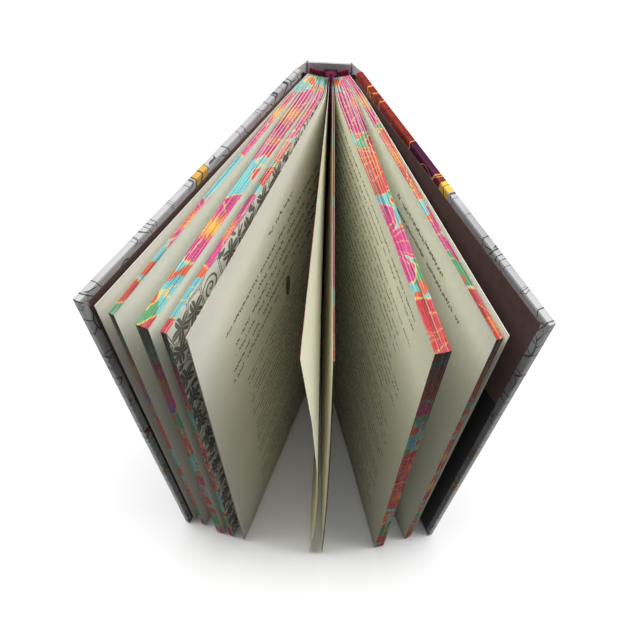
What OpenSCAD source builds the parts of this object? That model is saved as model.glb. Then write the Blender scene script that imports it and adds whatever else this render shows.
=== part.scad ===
// Hardcover book standing open on its tail edge, leaves fanned out between the two boards.
// Units are millimetres, Z runs from tail to head and the spine faces +Y.

/* [Pages] */
// Width of a leaf from its glued root to the fore-edge
page_w = 138; // [110:1:170]
// Height of a leaf from tail to head
page_h = 216; // [170:1:250]
// Clearance between the tail of the leaves and the table
tail_gap = 2; // [2:0.5:6]
// Thickness of each group of leaves at the fore-edge, front to back
leaf_groups = [2.0, 4.4, 2.1, 0.8, 0.7, 0.7, 5.4, 2.4];
// Direction of each group along its head edge, degrees from straight ahead
head_fan = [-22.8, -20.1, -19.3, -17.0, -1.6, 2.0, 14.8, 20.4];
// Direction of each group along its tail edge
tail_fan = [-22.8, -20.1, -19.3, -16.8, 0.4, 2.7, 15.8, 20.8];
// Extra turn of each group at half height, where a loose leaf bows
mid_bow = [0, 0, 0, 0, 2.2, 0.4, 0, 0];
// How much of their fore-edge thickness the leaves keep where they are glued
root_press = 0.88; // [0.8:0.01:1]
// Space left between two groups at their roots
leaf_slack = 0.12; // [0.08:0.01:0.3]
// Space at the roots that the ribbon runs in
ribbon_slot = 0.6; // [0.5:0.05:0.9]
// Half angle of the arched spine of the text block
spine_arch = 30; // [22:1:36]
// Length of leaf that stays straight next to the glue
glue_w = 4; // [2:0.5:6]
// Length over which a leaf bends to its own direction
bend_w = 18; // [12:1:26]
// Extra thickness where the leaves of a group spring apart, as a share of the group
swell = 0.45; // [0:0.05:0.5]
// Distance from the roots to the thickest place of that swelling
swell_at = 16; // [12:1:24]
// Length over which the leaves close up again
swell_fade = 70; // [50:5:90]

/* [Endpapers] */
// Thickness of an endpaper
endpaper_t = 0.3; // [0.3:0.05:0.5]
// Width of its hinge that is glued to the joint
hinge_w = 4; // [2:0.5:5]
// Directions of the front and back free endpaper
fly_fan = [-25.2, 21.3];

/* [Case] */
// Height of the boards above the head of the leaves
head_square = 4; // [2:0.5:6]
// Reach of the boards past the fore-edge of the endpapers
fore_square = 3; // [2:0.5:6]
// Thickness of a cover board
board_t = 2.2; // [1.8:0.1:3]
// Thickness of the spine board
spine_board_t = 1.8; // [1.2:0.1:2.4]
// Thickness of the covering paper
wrap_t = 0.25; // [0.2:0.05:0.4]
// Width of the turned-in margin of the covering paper
turn_in = 15; // [10:1:20]
// Thickness of a pastedown above the turn-ins
pastedown_t = 0.15; // [0.15:0.05:0.3]
// Margin between a pastedown and the board edges
pastedown_margin = 3; // [2:0.5:6]
// Angle of each cover from straight ahead
cover_angle = 25.9; // [23:0.1:35]
// Sideways and forward offset of a cover's fold line from the edge of the spine
joint_run = [4.6, 6.9];
// Thickness of the covering at the joints
joint_t = 0.4; // [0.3:0.05:0.6]
// Free space between a joint and the cover that folds at it
fold_gap = 0.3; // [0.2:0.05:0.6]
// Space between the spine board and the middle of the text block
hollow = 2.8; // [2.6:0.1:5]

/* [Bands] */
// Thickness of the glued back of the text block
back_t = 1.2; // [0.8:0.1:2]
// Thickness of the cloth lining on the back
lining_t = 0.35; // [0.3:0.05:0.6]
// Height of the rounded bead at the head
bead_h = 2.4; // [1.2:0.1:3]
// Height of the rounded bead at the tail, less than the tail gap
tail_bead_h = 1.7; // [1.2:0.1:1.9]
// Height of the strip that holds a headband to the back
skirt_h = 7; // [4:0.5:12]
// Thickness of that strip
skirt_t = 0.35; // [0.3:0.05:0.6]

/* [Ribbon] */
// Width of the ribbon
ribbon_w = 5.5; // [4:0.5:7]
// Thickness of the ribbon
ribbon_t = 0.3; // [0.25:0.05:0.35]
// Distance from the roots of the leaves to the crease of the ribbon in its gutter
ribbon_in = 5; // [4:0.5:8]
// Height of the ribbon's cut end above the table
ribbon_end = 46; // [20:1:120]

/* [Hidden] */
count = len(leaf_groups);
slot_at = 4;
bend_n = 9;
flat_n = 4;
level_n = 7;
back_n = 3;
seat_gap = 0.03;
spine_ease = 0.6;
fold_in = 0.45;
crease_w = 0.1;
tip_gap = 0.0471215;
case_h = tail_gap + page_h + head_square;
head_z = tail_gap + page_h;
spine_t = spine_board_t + 2 * wrap_t;
root_w = [for (t = leaf_groups) t * root_press];
gap_w = [for (k = [0:count - 2]) k == slot_at ? ribbon_slot : leaf_slack];
block_w = total(root_w, count) + total(gap_w, count - 1);
arc_r = block_w / (2 * spine_arch * PI / 180);
arc_y = arc_r - back_t - lining_t - hollow - spine_t / 2;
spine_w = block_w + spine_ease;
root_a = [for (k = [0:count - 1]) root_angle(k)];
slot_a = (root_a[slot_at] + root_a[slot_at + 1]) / 2;
spine_edge = [spine_w / 2, spine_t / 2 - joint_t / 2];
pivot = [spine_w / 2 + joint_run[0], spine_t / 2 - joint_run[1]];
flat_w = page_w - glue_w - bend_w;
bend_steps = [for (k = [1:bend_n]) glue_w + bend_w * k / bend_n];
flat_steps = [for (k = [1:flat_n]) glue_w + bend_w + flat_w * k / flat_n];
stations = concat([0, glue_w], bend_steps, flat_steps);
last = len(stations) - 1;
board_in = wrap_t + board_t + wrap_t;
cover_w = max(fly_reach(0), fly_reach(1)) + fore_square;
wing_w = (ribbon_w - crease_w) / 2;
closed_fold = 90 - asin(tip_gap / wing_w);

// Shape functions shared by the leaves and the endpapers
function total(v, n) = n <= 0 ? 0 : v[n - 1] + total(v, n - 1);
function clip(s) = min(1, max(0, s));
function ease(s) = s * s * (3 - 2 * s);
function ahead(a) = [sin(a), -cos(a)];
function across(a) = [cos(a), sin(a)];
function root_share(k) = (total(root_w, k) + total(gap_w, k) + root_w[k] / 2) / block_w;
function root_angle(k) = (2 * root_share(k) - 1) * spine_arch;
function on_arc(a, r) = [r * sin(a), arc_y - r * cos(a)];
function bent(a0, a1, d) = a0 + (a1 - a0) * ease(clip((d - glue_w) / bend_w));
function loosen(d) = root_press + (1 - root_press) * ease(clip((d - glue_w) / swell_fade));
function sprung(d) = swell * ease(clip(d / swell_at)) * (1 - ease(clip((d - swell_at) / swell_fade)));
function mid(k) = (stations[k] + stations[min(k + 1, last)]) / 2;
function step(k) = stations[min(k + 1, last)] - stations[k];
function walk(p0, a0, a1) =
  [for (k = 0, p = p0; k <= last; p = p + step(k) * ahead(bent(a0, a1, mid(k))), k = k + 1) p];
function reversed(v) = [for (k = [len(v) - 1:-1:0]) v[k]];
function lerp(a, b, s) = a + (b - a) * s;

// One side of a group of leaves, from its root to its fore-edge
function outermost(k, side) = k + side < 0 || k + side >= count;
function half_t(k, side, d) = leaf_groups[k] / 2 * (loosen(d) + (outermost(k, side) ? 0 : sprung(d)));
function leaf_side(k, a1, side) =
  let (path = walk(on_arc(root_a[k], arc_r), root_a[k], a1))
  [for (j = [0:last])
    path[j] + side * half_t(k, side, stations[j]) * across(bent(root_a[k], a1, stations[j]))];
function leaf_loop(k, a1) = concat(leaf_side(k, a1, -1), reversed(leaf_side(k, a1, 1)));
function turn_at(k, s) = lerp(tail_fan[k], head_fan[k], s) + mid_bow[k] * 4 * s * (1 - s);
function block_outline(s) =
  concat([for (k = [0:count - 1]) each leaf_loop(k, turn_at(k, s))], reversed(back_arc(arc_r - back_t)));

// Angles of the root corners, two to a group, and the finer row of points behind them
root_corner = [for (k = [0:count - 1]) for (side = [-1, 1]) corner_angle(k, side)];
function corner_angle(k, side) = root_a[k] + side * atan(root_w[k] / 2 / arc_r);
function back_angle(i) =
  let (c = floor(i / back_n), next = min(c + 1, 2 * count - 1))
  lerp(root_corner[c], root_corner[next], (i % back_n) / back_n);
back_a = [for (i = [0:(2 * count - 1) * back_n]) back_angle(i)];
function back_arc(r) = [for (a = back_a) on_arc(a, r)];

// Centre line of a free endpaper, front is 0 and back is 1
function fly_side(e) = e == 0 ? -1 : 1;
function fly_group(e) = e == 0 ? 0 : count - 1;
function fly_root(e) =
  on_arc(root_a[fly_group(e)], arc_r)
  + fly_side(e) * ((root_w[fly_group(e)] + endpaper_t) / 2 + seat_gap) * across(root_a[fly_group(e)]);
function fly_path(e) = walk(fly_root(e), root_a[fly_group(e)], fly_fan[e]);
function fly_reach(e) =
  let (tip = fly_path(e)[last], away = [tip[0] - fly_side(e) * pivot[0], tip[1] - pivot[1]])
  away * ahead(fly_side(e) * cover_angle);
function fly_edge(e, side) =
  let (path = fly_path(e), a0 = root_a[fly_group(e)])
  [for (j = [0:last]) path[j] + side * endpaper_t / 2 * across(bent(a0, fly_fan[e], stations[j]))];

// Straight strip of covering between the edge of the spine and the fold line, on the back side
joint_dir = (pivot - spine_edge) / norm(pivot - spine_edge);
joint_in = [joint_dir[1], -joint_dir[0]];
function joint_at(d, depth) = pivot - d * joint_dir + depth * joint_in;

module mirrored(side) {
  if (side < 0) mirror([1, 0, 0]) children();
  else children();
}

module at_cover(side) {
  mirrored(side) translate([pivot[0], pivot[1], 0]) rotate([0, 0, cover_angle]) children();
}

// Triangles of an end face, across one group of leaves and across the glued back
function leaf_cap(k, j, row) =
  let (a = k * 2 * row + j, b = (k + 1) * 2 * row - 1 - j)
  [[a, b, b - 1], [a, b - 1, a + 1]];
function corner_index(i, row) = floor(i / 2) * 2 * row + (i % 2) * (2 * row - 1);
function back_cap(i, row, end) =
  let (c = corner_index(i, row), b = end - i * back_n)
  concat([for (j = [0:back_n - 1]) [c, b - j, b - j - 1]], [[c, b - back_n, corner_index(i + 1, row)]]);

module page_block() {
  loops = [for (l = [0:level_n - 1]) block_outline(l / (level_n - 1))];
  n = len(loops[0]);
  level_h = page_h / (level_n - 1);
  points = [for (l = [0:level_n - 1]) for (p = loops[l]) [p[0], p[1], tail_gap + level_h * l]];
  lower = [for (l = [0:level_n - 2]) for (j = [0:n - 1])
    [l * n + j, (l + 1) * n + j, (l + 1) * n + (j + 1) % n]];
  upper = [for (l = [0:level_n - 2]) for (j = [0:n - 1])
    [l * n + j, (l + 1) * n + (j + 1) % n, l * n + (j + 1) % n]];
  row = last + 1;
  leaf_caps = [for (k = [0:count - 1]) for (j = [0:last - 1]) each leaf_cap(k, j, row)];
  back_caps = [for (i = [0:2 * count - 2]) each back_cap(i, row, n - 1)];
  caps = concat(leaf_caps, back_caps);
  tail = [for (f = caps) reversed(f)];
  head = [for (f = caps) [for (v = f) v + (level_n - 1) * n]];
  color([0.91, 0.87, 0.75]) polyhedron(points, concat(tail, lower, upper, head), convexity = 12);
}

module arc_band(r0, r1) {
  polygon(concat(back_arc(r1), reversed(back_arc(r0))));
}

module spine_lining() {
  color([0.86, 0.84, 0.78])
    translate([0, 0, tail_gap + skirt_h]) linear_extrude(page_h - 2 * skirt_h)
      arc_band(arc_r - back_t - lining_t, arc_r - back_t);
}

// Bead on the edge of the leaves and a strip glued down the back, turned about the arch
module band(h) {
  bead_w = back_t + skirt_t;
  color([0.35, 0.06, 0.14])
    translate([0, arc_y, 0]) rotate([0, 0, -90 - spine_arch])
      rotate_extrude(angle = 2 * spine_arch, $fn = 96) {
        translate([arc_r - bead_w, -skirt_h]) square([skirt_t - seat_gap, skirt_h + seat_gap]);
        translate([arc_r - bead_w, 0]) square([bead_w, h / 2]);
        translate([arc_r - bead_w / 2, h / 2]) scale([bead_w / h, 1]) circle(h / 2, $fn = 24);
      }
}

module headband() {
  translate([0, 0, head_z]) band(bead_h);
}

module tailband() {
  translate([0, 0, tail_gap]) mirror([0, 0, 1]) band(tail_bead_h);
}

// Section of the ribbon, folded up along its middle by f degrees, as distances across and out
function ribbon_half(f) = [
  [crease_w / 2, 0],
  [crease_w / 2 + wing_w * cos(f), wing_w * sin(f)],
  [crease_w / 2 + wing_w * cos(f) + ribbon_t * sin(f), wing_w * sin(f) - ribbon_t * cos(f)],
  [crease_w / 2 + ribbon_t * tan(f / 2), -ribbon_t]
];
function ribbon_ring(f) =
  let (half = ribbon_half(f))
  concat(half, [for (q = reversed(half)) [-q[0], q[1]]]);

// Each stop holds distance from the roots, height, and how far the ribbon is folded
module ribbon_marker() {
  hollow_r = arc_r - back_t - max(skirt_t, lining_t);
  sag = hollow_r - sqrt(hollow_r * hollow_r - ribbon_w * ribbon_w / 4);
  behind = hollow_r - arc_r - sag - ribbon_t - 2 * seat_gap;
  over = head_z + bead_h + 2 * ribbon_t;
  stops = [
    [behind, head_z - 3 * skirt_h, 0], [behind, head_z - skirt_h, 0], [behind, head_z, 0],
    [behind, head_z + bead_h / 2, 0], [behind + ribbon_t, over - 2 * ribbon_t, 0],
    [behind + 3 * ribbon_t, over, 0], [-back_t / 2, over + ribbon_t / 2, 0], [ribbon_t, over, 12],
    [ribbon_in / 4, over - ribbon_t, 34], [ribbon_in * 0.4, over - bead_h / 2, 55],
    [ribbon_in / 2, head_z + bead_h / 2, 72], [ribbon_in * 0.58, head_z + ribbon_t, closed_fold - 1],
    [ribbon_in * 0.66, head_z - ribbon_w / 4, closed_fold], [ribbon_in * 0.8, head_z - ribbon_w, closed_fold],
    [ribbon_in, head_z - 3 * ribbon_w, closed_fold], [ribbon_in, lerp(ribbon_end, head_z, 0.5), closed_fold],
    [ribbon_in, ribbon_end, closed_fold]
  ];
  m = len(stops);
  spot = [for (t = stops) let (p = on_arc(slot_a, arc_r + t[0])) [p[0], p[1], t[1]]];
  run = [for (j = [0:m - 1]) unit(spot[min(j + 1, m - 1)] - spot[max(j - 1, 0)])];
  wide = [across(slot_a)[0], across(slot_a)[1], 0];
  out = [for (r = run) unit(cross(r, wide))];
  rings = [for (j = [0:m - 1]) [for (q = ribbon_ring(stops[j][2])) spot[j] + q[0] * wide + q[1] * out[j]]];
  n = len(rings[0]);
  sides = [for (j = [0:m - 2]) for (c = [0:n - 1])
    [j * n + c, j * n + (c + 1) % n, (j + 1) * n + (c + 1) % n]];
  more = [for (j = [0:m - 2]) for (c = [0:n - 1])
    [j * n + c, (j + 1) * n + (c + 1) % n, (j + 1) * n + c]];
  quads = [for (c = [0:n / 2 - 2]) [c, c + 1, n - 2 - c, n - 1 - c]];
  first = [for (q = quads) reversed(q)];
  final = [for (q = quads) [for (v = q) (m - 1) * n + v]];
  color([0.6, 0.08, 0.3])
    polyhedron([for (r = rings) each r], concat(first, sides, more, final), convexity = 6);
}

function unit(v) = v / norm(v);

module spine_board() {
  color([0.62, 0.58, 0.52])
    translate([-spine_w / 2, -spine_t / 2 + wrap_t, wrap_t])
      cube([spine_w, spine_board_t, case_h - 2 * wrap_t]);
}

// Covering paper over the spine board, turned in at head and tail
module spine_wrap() {
  color([0.86, 0.86, 0.86]) {
    translate([-spine_w / 2, spine_t / 2 - wrap_t, 0]) cube([spine_w, wrap_t, case_h]);
    for (z = [0, case_h - wrap_t])
      translate([-spine_w / 2, -spine_t / 2, z]) cube([spine_w, spine_t, wrap_t]);
    for (z = [0, case_h - turn_in])
      translate([-spine_w / 2, -spine_t / 2, z]) cube([spine_w, wrap_t, turn_in]);
  }
}

module joint_strip(side) {
  far = norm(pivot - spine_edge);
  color([0.84, 0.84, 0.84])
    linear_extrude(case_h) mirrored(side)
      polygon([
        [spine_edge[0], spine_t / 2], joint_at(fold_gap, 0), joint_at(fold_gap, joint_t),
        joint_at(far - 2 * joint_t, joint_t), [spine_edge[0], spine_t / 2 - joint_t]
      ]);
}

module front_joint() {
  joint_strip(-1);
}

module back_joint() {
  joint_strip(1);
}

// In a cover's own frame the outer face is at X 0 and the board runs towards -Y
module board() {
  color([0.62, 0.58, 0.52])
    translate([-wrap_t - board_t, -cover_w + wrap_t, wrap_t])
      cube([board_t, cover_w - wrap_t - fold_gap, case_h - 2 * wrap_t]);
}

// Covering paper round a board, with the turned-in margins and an open window on the inner face
module wrap() {
  color([0.86, 0.86, 0.86]) difference() {
    translate([-board_in, -cover_w, 0]) cube([board_in, cover_w - fold_gap, case_h]);
    translate([-wrap_t - board_t, -cover_w + wrap_t, wrap_t]) cube([board_t, cover_w, case_h - 2 * wrap_t]);
    translate([-2 * board_in, -cover_w + turn_in, turn_in])
      cube([board_in + wrap_t + seat_gap, cover_w, case_h - 2 * turn_in]);
  }
}

module pastedown() {
  color([0.3, 0.2, 0.19]) {
    translate([-board_in - pastedown_t, -cover_w + pastedown_margin, pastedown_margin])
      cube([pastedown_t, cover_w - pastedown_margin - fold_gap, case_h - 2 * pastedown_margin]);
    translate([-board_in - pastedown_t / 2, -cover_w + turn_in, turn_in])
      cube([wrap_t + pastedown_t / 2, cover_w - turn_in - fold_gap, case_h - 2 * turn_in]);
  }
}

// Free endpaper tipped to the block, with its hinge folded back against the joint
module endpaper(e) {
  s = fly_side(e);
  fold = fly_edge(e, s)[0] + fold_in * ahead(root_a[fly_group(e)]);
  free = [for (j = [1:last]) fly_edge(e, s)[j]];
  hinge = [joint_at(hinge_w, joint_t), joint_at(fold_gap, joint_t), joint_at(fold_gap, joint_t + endpaper_t),
    joint_at(hinge_w - 2 * endpaper_t, joint_t + endpaper_t)];
  color([0.88, 0.84, 0.72]) translate([0, 0, tail_gap]) linear_extrude(page_h)
    polygon(concat(reversed(fly_edge(e, -s)), [for (p = hinge) [s * p[0], p[1]]], [fold], free));
}

module front_board() {
  at_cover(-1) board();
}

module front_wrap() {
  at_cover(-1) wrap();
}

module front_pastedown() {
  at_cover(-1) pastedown();
}

module front_endpaper() {
  endpaper(0);
}

module back_board() {
  at_cover(1) board();
}

module back_wrap() {
  at_cover(1) wrap();
}

module back_pastedown() {
  at_cover(1) pastedown();
}

module back_endpaper() {
  endpaper(1);
}

page_block();
spine_lining();
headband();
tailband();
ribbon_marker();
spine_board();
spine_wrap();
front_joint();
back_joint();
front_board();
front_wrap();
front_pastedown();
front_endpaper();
back_board();
back_wrap();
back_pastedown();
back_endpaper();
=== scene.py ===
import math
import random
from functools import partial, reduce

import bmesh
import bpy
import numpy as np
from mathutils import Matrix, Vector


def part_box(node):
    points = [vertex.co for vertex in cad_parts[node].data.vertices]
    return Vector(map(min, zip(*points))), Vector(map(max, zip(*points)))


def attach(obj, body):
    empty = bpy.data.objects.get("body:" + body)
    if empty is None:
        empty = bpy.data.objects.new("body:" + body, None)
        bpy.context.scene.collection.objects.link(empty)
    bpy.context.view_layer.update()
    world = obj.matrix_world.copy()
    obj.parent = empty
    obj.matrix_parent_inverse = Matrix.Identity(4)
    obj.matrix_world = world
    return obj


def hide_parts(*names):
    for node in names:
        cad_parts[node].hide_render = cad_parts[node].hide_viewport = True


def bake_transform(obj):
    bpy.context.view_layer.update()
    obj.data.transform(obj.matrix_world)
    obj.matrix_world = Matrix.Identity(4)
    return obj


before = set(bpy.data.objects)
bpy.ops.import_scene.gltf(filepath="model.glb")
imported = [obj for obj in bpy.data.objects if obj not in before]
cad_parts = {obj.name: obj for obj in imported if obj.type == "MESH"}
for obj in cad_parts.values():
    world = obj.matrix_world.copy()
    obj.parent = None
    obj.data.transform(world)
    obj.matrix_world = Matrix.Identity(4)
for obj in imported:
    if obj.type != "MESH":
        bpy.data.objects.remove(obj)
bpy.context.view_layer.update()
mm = 0.001
scene = bpy.context.scene
print("frame loaded")


# small helpers for nodes, which go into the material that is on the bench
bench = {}


def wire(node, key, value):
    if isinstance(value, bpy.types.NodeSocket):
        node.id_data.links.new(value, node.inputs[key])
    else:
        node.inputs[key].default_value = value


def put(kind, settings=None, **inputs):
    node = bench["tree"].nodes.new(kind)
    for key, value in (settings or {}).items():
        setattr(node, key, value)
    for key, value in inputs.items():
        wire(node, key, value)
    return node


def fill(node, *values):
    for index, value in enumerate(values):
        wire(node, index, value)
    return node.outputs[0]


def calc(operation, *values):
    return fill(put("ShaderNodeMath", {"operation": operation}), *values)


below, above = partial(calc, "LESS_THAN"), partial(calc, "GREATER_THAN")
minus, product, larger = partial(calc, "SUBTRACT"), partial(calc, "MULTIPLY"), partial(calc, "MAXIMUM")
absolute, fraction = partial(calc, "ABSOLUTE"), partial(calc, "FRACT")
sine, cosine = partial(calc, "SINE"), partial(calc, "COSINE")
power, inverse = partial(calc, "POWER"), partial(minus, 1.0)


def scaled(value, factor, shift=0.0):
    return calc("MULTIPLY_ADD", value, factor, shift)


def both(*masks):
    return reduce(product, masks)


def anyOf(*masks):
    return reduce(larger, masks)


def between(value, low, high):
    return both(above(value, low), below(value, high))


def smooth(value, low, high):
    return fill(put("ShaderNodeMapRange", {"interpolation_type": "SMOOTHSTEP"}), value, low, high)


def mixColour(factor, first, second, mode="MIX"):
    node = put("ShaderNodeMix", {"data_type": "RGBA", "blend_type": mode})
    for index, item in ((0, factor), (6, first), (7, second)):
        wire(node, index, item)
    return node.outputs[2]


def pickColour(factor, colours):
    node = put("ShaderNodeValToRGB", Fac=factor)
    ramp = node.color_ramp
    ramp.interpolation = "CONSTANT"
    while len(ramp.elements) < len(colours):
        ramp.elements.new(0.5)
    for index, colour in enumerate(colours):
        ramp.elements[index].position = index / len(colours)
        ramp.elements[index].color = colour
    return node.outputs[0]


def joinXy(x, y):
    return fill(put("ShaderNodeCombineXYZ"), x, y)


def splitXyz(vector):
    return tuple(put("ShaderNodeSeparateXYZ", Vector=vector).outputs)


def noise(vector, scale, detail=2.0, flat=False):
    size = {"noise_dimensions": "2D" if flat else "3D"}
    return put("ShaderNodeTexNoise", size, Vector=vector, Scale=scale, Detail=detail).outputs[0]


def flatNoise(x, y, scale=1.0, detail=2.0):
    return noise(joinXy(x, y), scale, detail, True)


def dice(x, y):
    return put("ShaderNodeTexWhiteNoise", {"noise_dimensions": "2D"}, Vector=joinXy(x, y)).outputs[0]


def cosWave(angle, factor=1.0):
    return absolute(cosine(scaled(angle, factor)))


def sinWave(angle, factor=1.0):
    return absolute(sine(scaled(angle, factor)))


def objectSpot():
    return put("ShaderNodeTexCoord").outputs["Object"]


def attributeSpot():
    node = put("ShaderNodeAttribute", {"attribute_name": "printSpot"})
    return splitXyz(node.outputs["Vector"])


# cells that the drawn designs grow from
def flowerCells(x, y, scatter):
    # nearest cell: distance and angle from its heart, and three chances
    spot = joinXy(x, y)
    cells = put("ShaderNodeTexVoronoi", {"voronoi_dimensions": "2D"}, Scale=1.0, Randomness=scatter)
    wire(cells, "Vector", spot)
    away = fill(put("ShaderNodeVectorMath", {"operation": "SUBTRACT"}), spot, cells.outputs["Position"])
    dx, dy, blank = splitXyz(away)
    reach = calc("SQRT", scaled(dx, dx, product(dy, dy)))
    chances = splitXyz(cells.outputs["Color"])
    fullTurn = 6.28
    angle = calc("ADD", calc("ARCTAN2", dy, dx), scaled(chances[1], fullTurn))
    return reach, angle, chances


def blossomCells(x, y, style):
    # as above, with the depth inside a rim of round petals
    reach, angle, chances = flowerCells(x, y, style["scatter"])
    lobes = power(cosWave(angle, style["petals"] / 2), style["petalRound"])
    rim = scaled(lobes, style["petalLong"], style["heartLong"])
    return reach, angle, chances, minus(rim, reach)


def leafCells(x, y, style):
    # pointed leaves on a finer grid: depth inside the rim, angle and chances
    fineX, fineY = scaled(x, style["leafCells"][0]), scaled(y, style["leafCells"][1])
    reach, angle, chances = flowerCells(fineX, fineY, style["leafScatter"])
    curve = power(cosWave(angle), 2.0)
    rim = scaled(curve, style["leafLong"], style["leafWide"])
    return minus(rim, reach), angle, chances


def linear(level):
    share = level / 255
    return share / 12.92 if share <= 0.04045 else ((share + 0.055) / 1.055) ** 2.4


def rgb(red, green, blue):
    return linear(red), linear(green), linear(blue), 1.0


def newMaterial(name, roughness, gloss=0.3):
    material = bpy.data.materials.new(name)
    material.use_nodes = True
    bench["tree"] = material.node_tree
    shader = material.node_tree.nodes["Principled BSDF"]
    wire(shader, "Roughness", roughness)
    wire(shader, "Specular IOR Level", gloss)
    return material, shader


def mixShaders(factor, first, second):
    mix = put("ShaderNodeMixShader", Fac=factor)
    wire(mix, 1, first.outputs[0])
    wire(mix, 2, second.outputs[0])
    wire(bench["tree"].nodes["Material Output"], "Surface", mix.outputs[0])


def paint(shader, colour, height, strength, depth):
    bump = put("ShaderNodeBump", Strength=strength, Distance=depth, Height=height)
    wire(shader, "Base Color", colour)
    wire(shader, "Normal", bump.outputs[0])


def addObject(name, data):
    item = bpy.data.objects.new(name, data)
    scene.collection.objects.link(item)
    return item


def addSmooth(name, mesh, smoothAngle):
    mesh.shade_smooth()
    mesh.set_sharp_from_angle(angle=math.radians(smoothAngle))
    return addObject(name, mesh)


# camera set to the angle the book is seen from
bookCamera = dict(lens=35.24, sensor=36, spot=(3.7, -237.85, 376.2), pitch=55.44, yaw=-0.87, roll=2.15)


def setCamera(view):
    pitch, yaw, roll = (math.radians(view[key]) for key in ("pitch", "yaw", "roll"))
    level = Matrix(((1, 0, 0), (0, 0, -1), (0, 1, 0)))
    tilt = Matrix.Rotation(roll, 3, "Z") @ Matrix.Rotation(pitch, 3, "X")
    rows = tilt @ level @ Matrix.Rotation(yaw, 3, "Z")
    pose = Matrix((rows[0], -rows[1], -rows[2])).transposed().to_4x4()
    pose.translation = Vector(view["spot"]) * mm
    data = bpy.data.cameras.new("bookCamera")
    data.lens = view["lens"]
    data.sensor_width = view["sensor"]
    camera = addObject("bookCamera", data)
    camera.matrix_world = pose
    scene.camera = camera


setCamera(bookCamera)
print("camera placed")

# fan of the leaves, millimetres and degrees
fan = dict(
    pageWidth=138, pageHeight=216, tailGap=2,
    groups=(2.0, 4.4, 2.1, 0.8, 0.7, 0.7, 5.4, 2.4),
    headTurn=(-22.8, -20.1, -19.3, -17.0, -1.6, 2.0, 14.8, 20.4),
    tailTurn=(-22.8, -20.1, -19.3, -16.8, 0.4, 2.7, 15.8, 20.8),
    midBow=(0, 0, 0, 0, 2.2, 0.4, 0, 0),
    rootPress=0.88, slack=0.12, ribbonSlot=0.6, slotAfter=4, arch=30, glueWidth=4, bendWidth=18,
    swell=0.45, swellAt=16, swellFade=70,
    backThick=1.2, liningThick=0.35, hollow=2.8, spineThick=2.3, spineEase=0.6,
    endpaper=0.3, endTurn=(-25.2, 21.3),
)
rootWidth = [g * fan["rootPress"] for g in fan["groups"]]
rootGap = [fan["slack"]] * (len(rootWidth) - 1)
rootGap[fan["slotAfter"]] = fan["ribbonSlot"]
blockWidth = sum(rootWidth) + sum(rootGap)
spineWidth = blockWidth + fan["spineEase"]
archRadius = blockWidth / (2 * math.radians(fan["arch"]))
archY = archRadius - fan["backThick"] - fan["liningThick"] - fan["hollow"] - fan["spineThick"] / 2
flatWidth = fan["pageWidth"] - fan["glueWidth"] - fan["bendWidth"]
headZ = fan["tailGap"] + fan["pageHeight"]
lastGroup = len(rootWidth) - 1
rootTurn = [
    ((sum(rootWidth[:k]) + sum(rootGap[:k]) + rootWidth[k] / 2) / blockWidth - 0.5) * 2 * fan["arch"]
    for k in range(lastGroup + 1)
]
closedStart = [sum(fan["groups"][:k]) for k in range(lastGroup + 1)]


def ease(s):
    s = min(1.0, max(0.0, s))
    return s * s * (3 - 2 * s)


def ahead(angle):
    return np.array((math.sin(math.radians(angle)), -math.cos(math.radians(angle))))


def across(angle):
    return np.array((math.cos(math.radians(angle)), math.sin(math.radians(angle))))


def onArch(angle, radius):
    return np.array((0.0, archY)) + radius * ahead(angle)


def bent(start, end, distance):
    return start + (end - start) * ease((distance - fan["glueWidth"]) / fan["bendWidth"])


def loosen(distance):
    freed = ease((distance - fan["glueWidth"]) / fan["swellFade"])
    return fan["rootPress"] + (1 - fan["rootPress"]) * freed


def sprung(distance):
    faded = ease((distance - fan["swellAt"]) / fan["swellFade"])
    return fan["swell"] * ease(distance / fan["swellAt"]) * (1 - faded)


def leafStations(bends=9, flats=8):
    glue, bend = fan["glueWidth"], fan["bendWidth"]
    stops = [0.0, glue] + [glue + bend * k / bends for k in range(1, bends + 1)]
    return stops + [glue + bend + flatWidth * k / flats for k in range(1, flats + 1)]


def walk(start, turnIn, turnOut, stops):
    spots = [np.array(start, float)]
    for near, far in zip(stops[:-1], stops[1:]):
        spots.append(spots[-1] + (far - near) * ahead(bent(turnIn, turnOut, (near + far) / 2)))
    return spots


def turnAt(k, share):
    level = fan["tailTurn"][k] + (fan["headTurn"][k] - fan["tailTurn"][k]) * share
    return level + fan["midBow"][k] * 4 * share * (1 - share)


class MeshPile:
    def __init__(self):
        self.verts, self.faces, self.mats, self.spots = [], [], [], []

    def grid(self, rows, mat, spots=None, flip=False):
        base = len(self.verts)
        high, wide = len(rows), len(rows[0])
        for row in rows:
            self.verts.extend(row)
        for i in range(high - 1):
            for j in range(wide - 1):
                quad = [(i, j), (i, j + 1), (i + 1, j + 1), (i + 1, j)]
                if flip:
                    quad = quad[::-1]
                self.faces.append([base + a * wide + b for a, b in quad])
                self.mats.append(mat)
                self.spots.extend([spots[a][b] if spots else (0, 0, 0) for a, b in quad])

    def build(self, name, materials, smoothAngle=35, capEnds=False):
        mesh = bpy.data.meshes.new(name)
        mesh.from_pydata([tuple(c * mm for c in v) for v in self.verts], [], self.faces)
        for material in materials:
            mesh.materials.append(material)
        mesh.polygons.foreach_set("material_index", self.mats)
        layer = mesh.attributes.new("printSpot", "FLOAT_VECTOR", "CORNER")
        layer.data.foreach_set("vector", np.array(self.spots, np.float32).ravel())
        work = bmesh.new()
        work.from_mesh(mesh)
        bmesh.ops.remove_doubles(work, verts=work.verts, dist=1e-7)
        if capEnds:
            bmesh.ops.holes_fill(work, edges=[e for e in work.edges if e.is_boundary], sides=0)
            bmesh.ops.recalc_face_normals(work, faces=work.faces)
        work.to_mesh(mesh)
        work.free()
        return addSmooth(name, mesh, smoothAngle)


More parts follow.
